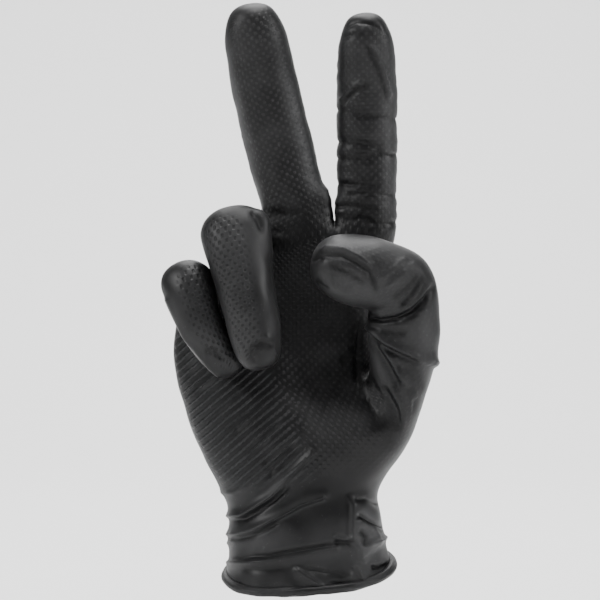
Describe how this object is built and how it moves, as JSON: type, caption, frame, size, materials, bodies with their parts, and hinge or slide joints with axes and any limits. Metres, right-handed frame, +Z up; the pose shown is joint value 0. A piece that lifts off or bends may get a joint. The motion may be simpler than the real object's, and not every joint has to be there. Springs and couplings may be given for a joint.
{
  "type": "nitrile exam glove",
  "caption": "Thin black nitrile glove with a dotted grip texture, formed as worn on a right hand raised in a V, with an open cuff and a rolled bead.",
  "frame": {"origin": "middle of the cuff's open mouth, where the glove sits on the wrist", "axes": "+Z up the hand towards the middle fingertip, -Y out of the palm, +X towards the thumb"},
  "size_m": [0.1098, 0.0747, 0.2361],
  "materials": {
    "nitrile_film": "satin black nitrile film with fine raised diamond-set dots"
  },
  "bodies": {
    "root": {"glove": "nitrile_film"}
  },
  "joints": []
}
